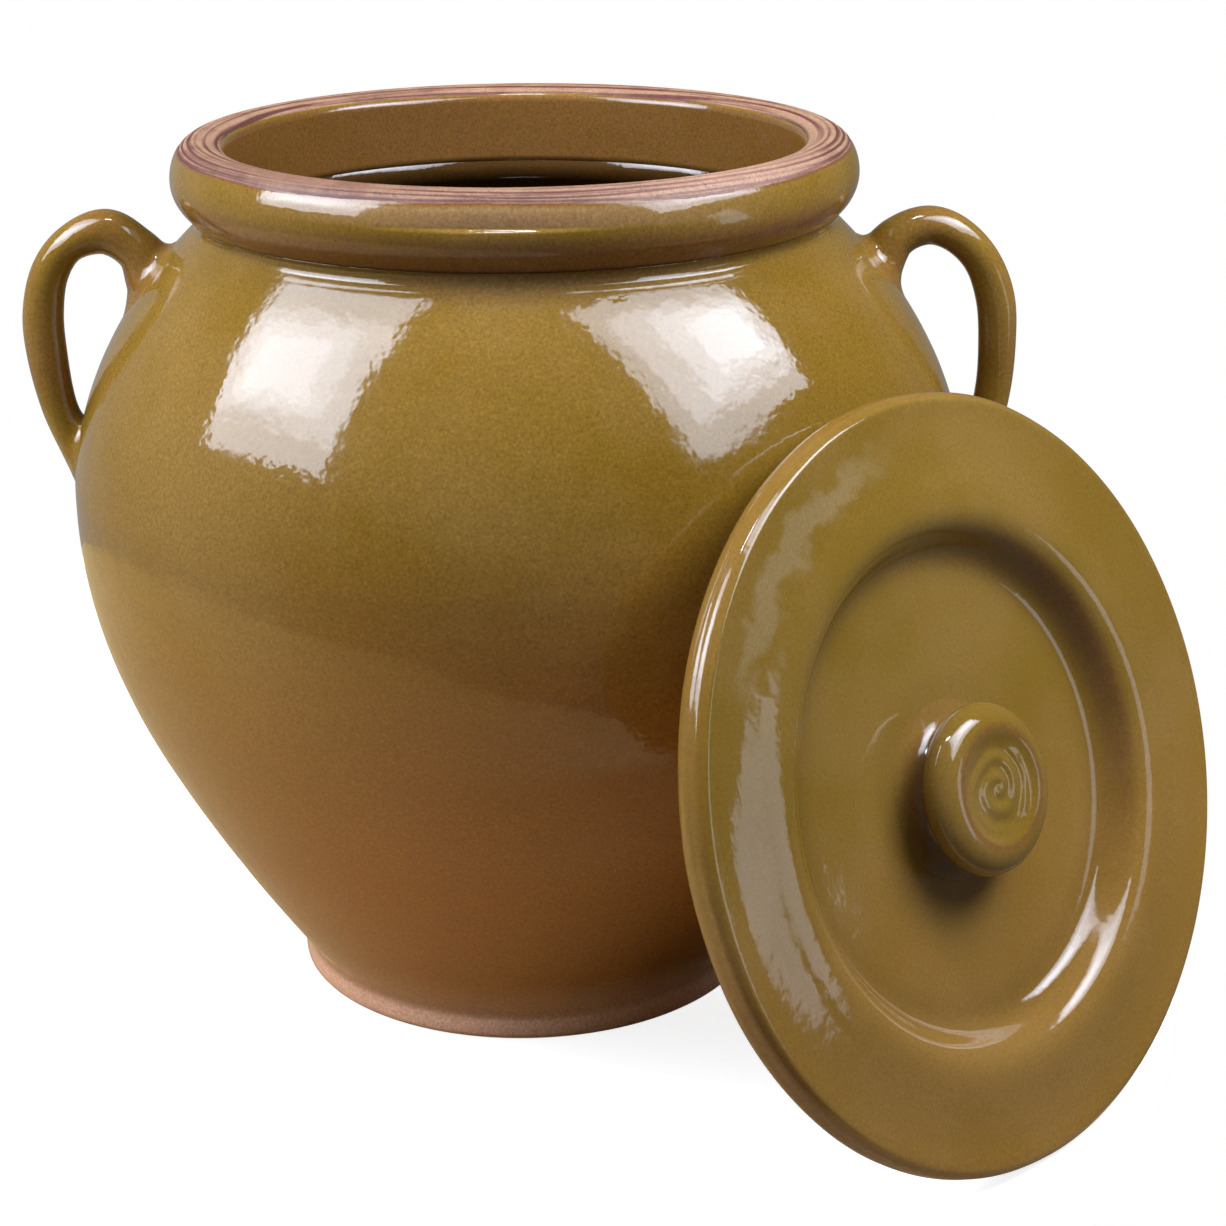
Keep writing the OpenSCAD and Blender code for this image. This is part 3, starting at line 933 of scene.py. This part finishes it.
        def pool_and_shade(co: Vector) -> float:
            radius = math.hypot(co.x, co.y)
            corner = bump_at(radius, self.well_r + 5 * MM, 9 * MM) * ramp(co.z, -4 * MM, -10 * MM)
            knob = 0.8 * bump_at(radius, self.foot_r, 8 * MM) * ramp(co.z, -4 * MM, -10 * MM)
            # Painted shade over the top right of the lid.
            right = 0.1 * ramp(co.y, 10 * MM, 100 * MM) * ramp(co.x, 60 * MM, -30 * MM)
            return 0.25 * corner + 0.1 * knob + right

        def cloud(co: Vector) -> float:
            # Painted reflection: a pale ragged patch on the upper flange.
            turn = math.atan2(co.y, co.x)
            radius = math.hypot(co.x, co.y) + 5 * MM * noise.noise(co * 90) + 4 * MM * noise.noise(co * 260)
            patch = bump_at(turn, math.radians(-146), math.radians(42)) * bump_at(radius, 110 * MM, 9 * MM)
            return 0.13 * ramp(patch, 0.1, 0.6)

        def warm_painted_fill(co: Vector) -> float:
            # Painted fill light: lighter, warmer glaze on the lower part of the lid's face.
            return 0.17 * ramp(co.x, -30 * MM, 50 * MM) * ramp(co.z, -14 * MM, -13 * MM)

        return {Layer.THIN: thin_and_shade, Layer.POOL_AND_SHADE: pool_and_shade, Layer.MILKY_AND_PAINTED_LIGHT: cloud, Layer.WARM_PAINTED_FILL: warm_painted_fill}

    def knob_outline(self) -> list[Vector]:
        """Spread foot, neck, rounded button and dished top."""
        deep, middle, inward = -self.well_d, 1.6 * MM, 9 * MM
        below, above = 6.4 * MM, self.knob_top - 1.6 * MM
        neck = Curve(
            Vector((self.foot_r, deep)), Vector((self.foot_r - 7 * MM, deep + 0.5 * MM)),
            Vector((self.neck_r + 0.6 * MM, deep + 2 * MM)), Vector((self.neck_r, deep + 5.6 * MM)),
        ).points(18)
        button = []
        for i in range(33):
            turn = math.radians(-75 + 150 * i / 32)
            rise = below if turn < 0 else above
            button.append(Vector((self.knob_r - inward * (1 - math.cos(turn)), middle + rise * math.sin(turn))))
        dish = [Vector((self.knob_r - inward - d * MM, self.knob_top - h * MM))
                for d, h in ((0, 0), (1.6, 0.4), (3, 1.1), (5, 1.3))]
        inner = dish[-1].x
        floor = [Vector((inner * (1 - i / 24), dish[-1].y)) for i in range(1, 25)]
        return [Vector((0, deep)), Vector((0.5 * self.foot_r, deep))] + neck + button + dish + floor

    def knob_spiral(self, co: Vector) -> Vector:
        """Spiral finger mark in the knob's top, and a little unevenness elsewhere."""
        radius = math.hypot(co.x, co.y)
        turn = math.atan2(co.y, co.x)
        top = ramp(co.z, self.knob_top - 3 * MM, self.knob_top - 1.6 * MM) * ramp(radius, 18 * MM, 14 * MM)
        drift = 0.5 * noise.noise(co * 70)
        wave = math.cos(FULL_TURN * (radius / (6.6 * MM) - turn / FULL_TURN + drift))
        mark = 0.30 * MM * (wave + noise.noise(co * 130)) * top * ramp(radius, 0.0, 3 * MM)
        wobble = 0.15 * MM * noise.noise(co * 60)
        rise = mark - 0.3 * MM * top - self.knob_sink
        return Vector((co.x * wobble / max(radius, MM) + self.knob_aside, co.y * wobble / max(radius, MM), rise))

    def knob_masks(self) -> dict[Layer, Mask]:
        """Thinner glaze on the button's edge, and painted shade, browner and darker, round the neck under the button.
        """

        def thin_and_shade(co: Vector) -> float:
            edge = 0.65 * bump_at(math.hypot(co.x, co.y), self.knob_r - 8.5 * MM, 2.2 * MM) * ramp(co.z, 6 * MM, 8 * MM)
            # Painted shade: browner glaze round the neck under the button.
            return max(edge, 0.6 * bump_at(co.z, -self.well_d + 5 * MM, 7 * MM))

        def pool_and_shade(co: Vector) -> float:
            # Painted shade: a little darker glaze round the neck.
            return 0.1 * bump_at(co.z, -self.well_d + 5 * MM, 5 * MM)

        return {Layer.THIN: thin_and_shade, Layer.POOL_AND_SHADE: pool_and_shade}

    def build(self, material: bpy.types.Material) -> list[bpy.types.Object]:
        """Makes the plate and the knob.

        Args:
            material: The glaze, centred on the lid.

        Returns:
            The two pieces.
        """
        plate = turned(self.plate_outline(), self.sides, closed=False)
        paint(plate, self.plate_masks())
        shape(plate, self.plate_unevenness)
        knob = turned(self.knob_outline(), 160, closed=False)
        paint(knob, self.knob_masks())
        shape(knob, self.knob_spiral)
        made = []
        for name, bm, node in (("lid_disc", plate, "lid_plate"), ("turned_knob", knob, "lid_knob")):
            bmesh.ops.transform(bm, matrix=self.place(), verts=bm.verts[:])
            made.append(finish_piece(name, bm, material, Body.LID, node))
        return made


@dataclass(frozen=True)
class Softbox:
    """A flat studio lamp, a little brighter towards its middle.

    Args:
        name: Name of the lamp.
        place: Its middle.
        facing: Azimuth and elevation of its back, from the jar's side, in degrees.
        roll: Its turn about the way it faces, in degrees.
        size: Width and height.
        glow: Brightness at its edge, where 1 is the white of paper in full light.
        core: Extra brightness of each of the smaller panes in front of it.
        core_sides: How far those panes spread along the width and the height.
    """

    name: str
    place: tuple[float, float, float]
    facing: tuple[float, float]
    roll: float
    size: tuple[float, float]
    glow: float
    core: float = 0.0
    core_sides: tuple[float, float] = (1.0, 1.0)

    def build(self) -> None:
        """Adds the lamp's panes, the smaller ones in front."""
        azimuth, rise = (math.radians(a) for a in self.facing)
        back = Vector((math.sin(azimuth) * math.cos(rise), -math.cos(azimuth) * math.cos(rise), math.sin(rise)))
        turn = back.to_track_quat("Z", "Y").to_matrix().to_4x4() @ Matrix.Rotation(math.radians(self.roll), 4, "Z")
        wide, tall = self.size
        panes = [(wide, tall, self.glow)]
        if self.core:
            spread_wide, spread_tall = self.core_sides
            panes += [(wide * share * spread_wide, tall * share * spread_tall, self.core) for share in (0.8, 0.6, 0.4)]
        for layer, (pane_wide, pane_tall, glow) in enumerate(panes):
            data = bpy.data.lights.new(f"{self.name}_{layer}", "AREA")
            data.shape = "RECTANGLE"
            data.size, data.size_y = pane_wide, pane_tall
            data.energy = glow * math.pi * data.size * data.size_y
            data.color = (0.81, 0.87, 1.0)
            lamp = bpy.data.objects.new(data.name, data)
            lamp.matrix_world = Matrix.Translation(Vector(self.place) - layer * MM * back) @ turn
            bpy.context.scene.collection.objects.link(lamp)


@dataclass
class Studio:
    """Pale round table, white background, two softboxes and the photograph's camera."""

    camera_distance: float = 0.9166
    camera_height: float = 0.4580
    yaw: float = 0.0357
    pitch: float = 0.3433
    roll: float = -0.0069
    focal: float = 2636 / 1226 * 36
    table_r: float = 0.445
    table_centre: tuple[float, float] = (-0.20, 0.03)
    white: tuple = (1.0, 1.0, 1.0, 1.0)
    table_warm: tuple = (0.43, 0.33, 0.17, 1.0)
    table_grey: tuple = (0.42, 0.42, 0.42, 1.0)
    room_front: float = 0.1
    room_back: float = 0.29
    room_low: float = 0.04
    room_right: float = 0.3
    room_top: float = 0.4

    def add_camera(self) -> None:
        """Puts the camera where the photograph was taken from."""
        data = bpy.data.cameras.new("camera")
        data.sensor_width = 36
        data.lens = self.focal
        camera = bpy.data.objects.new("camera", data)
        aim = Matrix.Rotation(-self.yaw, 4, "Z") @ Matrix.Rotation(math.pi / 2 - self.pitch, 4, "X")
        camera.matrix_world = (
            Matrix.Translation((0, -self.camera_distance, self.camera_height)) @ aim @ Matrix.Rotation(self.roll, 4, "Z")
        )
        bpy.context.scene.collection.objects.link(camera)
        bpy.context.scene.camera = camera

    def add_table(self) -> None:
        """Lays the pale round table top that the jar stands on."""
        bm = bmesh.new()
        middle = Matrix.Translation((*self.table_centre, 0.0))
        bmesh.ops.create_circle(bm, cap_ends=True, segments=128, radius=self.table_r, matrix=middle)
        mesh = bpy.data.meshes.new("table_top")
        bm.to_mesh(mesh)
        bm.free()
        table = bpy.data.objects.new("table_top", mesh)
        bpy.context.scene.collection.objects.link(table)
        material = bpy.data.materials.new("pale_table")
        material.use_nodes = True
        material.node_tree.nodes.clear()
        graph = Graph(material.node_tree)
        matte = graph.add("BsdfDiffuse", {"Color": self.table_warm}).outputs["BSDF"]
        neutral = graph.add("BsdfDiffuse", {"Color": self.table_grey}).outputs["BSDF"]
        glow = graph.add("Emission", {"Color": self.white, "Strength": 0.85}).outputs["Emission"]
        seen = graph.add("LightPath").outputs["Is Camera Ray"]
        lifted = graph.add("AddShader", {0: neutral, 1: glow}).outputs["Shader"]
        surface = graph.add("MixShader", {0: seen, 1: matte, 2: lifted}).outputs["Shader"]
        graph.add("OutputMaterial", {"Surface": surface})
        mesh.materials.append(material)

    def add_room(self) -> None:
        """White background for the camera, soft grey light for everything else."""
        world = bpy.data.worlds.new("studio")
        world.use_nodes = True
        world.node_tree.nodes.clear()
        graph = Graph(world.node_tree)
        seen = graph.add("LightPath").outputs["Is Camera Ray"]
        backdrop = graph.add("Background", {"Color": self.white, "Strength": 1.0}).outputs["Background"]
        way = graph.add("SeparateXYZ", {"Vector": graph.add("TexCoord").outputs["Generated"]}).outputs
        level = graph.span(way["Y"], -1.0, 0.2, self.room_front, self.room_back)
        level = graph.math("MULTIPLY", level, graph.span(way["X"], -0.2, 0.7, 1.0, self.room_right))
        level = graph.math("MULTIPLY", level, graph.span(way["Z"], 0.2, 0.8, 1.0, self.room_top))
        level = graph.math("ADD", level, graph.span(way["Z"], 0.05, -0.2, 0.0, self.room_low))
        fill = graph.add("Background", {"Color": self.white, "Strength": level}).outputs["Background"]
        surface = graph.add("MixShader", {0: seen, 1: fill, 2: backdrop}).outputs["Shader"]
        graph.add("OutputWorld", {"Surface": surface})
        bpy.context.scene.world = world

    def build(self) -> None:
        """Sets up the whole stage."""
        self.add_camera()
        self.add_table()
        self.add_room()
        for lamp in (
            Softbox("left_softbox", (-0.776, -0.156, 0.852), (-42.9, 44.9), -1.9, (0.774, 0.786), 8.1, 3.0, (1.2, 0.7)),
            Softbox("right_softbox", (0.718, -0.149, 0.920), (15.3, 27.9), 26.9, (1.074, 0.574), 7.1, 3.8, (1.1, 0.85)),
            Softbox("ceiling_lamp_left", (-0.17, -0.33, 2.3), (0, 90), 0, (0.19, 0.15), 60),
            Softbox("ceiling_lamp_right", (0.05, -0.33, 2.3), (0, 90), 0, (0.19, 0.15), 60),
            Softbox("side_card", (1.03, -0.406, 0.235), (76, 0), 25, (0.20, 0.40), 2.1),
        ):
            lamp.build()
        view = bpy.context.scene.view_settings
        view.view_transform = "Standard"


LEFT_ROUTE = [
    (-34.0, 55.5, 2.0, 2.1), (-30.6, 48.5, 1.46, 1.62), (-25.2, 39.7, 1.08, 1.28), (-15.0, 33.6, 1.09, 1.12),
    (-2.2, 37.6, 0.88, 1.08), (5.5, 47.6, 0.91, 1.06), (8.9, 62.3, 0.98, 1.06), (8.5, 78.3, 0.97, 1.08),
    (5.9, 95.1, 0.86, 1.12), (1.2, 108.9, 0.82, 1.25), (-4.8, 122.6, 0.8, 1.5), (-12.0, 134.0, 0.7, 1.6),
]
RIGHT_ROUTE = [
    (-35.0, 56.0, 1.95, 2.1), (-31.6, 49.5, 1.42, 1.62), (-24.6, 39.5, 1.06, 1.28), (-13.8, 35.3, 0.99, 1.12),
    (-3.0, 38.8, 0.96, 1.08), (6.1, 48.1, 0.95, 1.06), (11.4, 61.8, 1.0, 1.06), (12.7, 78.2, 0.98, 1.08),
    (11.9, 94.8, 0.93, 1.12), (8.4, 110.0, 0.9, 1.25), (-0.4, 124.0, 0.84, 1.5), (-10.0, 136.0, 0.72, 1.6),
]


def main() -> None:
    """Builds the stage and every piece of the jar, in order."""
    logging.basicConfig(level=logging.INFO, format="%(name)s: %(message)s")
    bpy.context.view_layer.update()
    Studio().build()
    specks, peel = speckle_group(), peel_group()
    body = JarBody()
    lid = Lid()
    # The jar's glaze turns lighter and redder below 0.215 m, partly painted light on the dimmer lower body.
    jar_glaze = GlazeFinish("olive_glaze", tint_low=0.02, tint_high=0.215).build(specks, peel)
    # The lid's height tint is off; its low colour only serves the painted fill light on its lower part.
    lid_glaze = GlazeFinish(
        "olive_glaze_lid", rich=rgb(128, 98, 32), pale=rgb(136, 105, 47), milky_and_painted_light=rgb(205, 192, 165), peel=0.09, specks=0.5,
        low=rgb(190, 132, 72), tint_low=-2.0, tint_high=-1.0, centre=lid.place(),
    ).build(specks, peel)
    body.build(jar_glaze)
    RolledRim(body).build(jar_glaze)
    EarHandle(body, "left_ear", "handle_left", -1, 14.6 * MM, LEFT_ROUTE).build(jar_glaze)
    EarHandle(body, "right_ear", "handle_right", 1, 13.8 * MM, RIGHT_ROUTE).build(jar_glaze)
    lid.build(lid_glaze)


if __name__ == "__main__":
    main()
